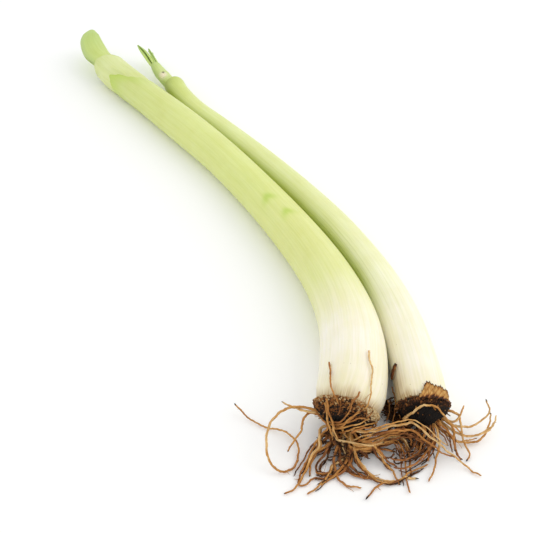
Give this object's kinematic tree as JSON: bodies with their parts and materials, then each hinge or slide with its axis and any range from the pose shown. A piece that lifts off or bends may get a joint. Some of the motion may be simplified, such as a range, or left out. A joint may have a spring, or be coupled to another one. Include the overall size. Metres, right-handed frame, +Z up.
{
  "type": "leek bunch",
  "caption": "Pair of trimmed leeks lying side by side: long curved white-to-green shafts with folded leaf tips, dark root plates and a tangle of dried roots.",
  "frame": {"origin": "on the table, under the middle of the pair's bounding box", "axes": "+Y along the leeks from the roots to the cut tops, +X from the thicker front leek towards the thinner back leek, +Z up from the table"},
  "size_m": [0.1264, 0.5672, 0.0351],
  "materials": {
    "sheath": "smooth fresh leek sheath, cream white at the root end and yellow-green towards the top, with fine lengthwise veins",
    "young_leaf": "soft green young leek leaf with fine lengthwise veins",
    "root": "dry tan to dark brown root, dull and finely wrinkled"
  },
  "bodies": {
    "root": {"front_shaft": "sheath", "front_second_sheath": "sheath", "front_inner_leaf": "young_leaf", "front_roots": "root", "back_shaft": "sheath", "back_neck": "young_leaf", "back_leaf_1": "young_leaf", "back_leaf_2": "young_leaf", "back_roots": "root"}
  },
  "joints": []
}
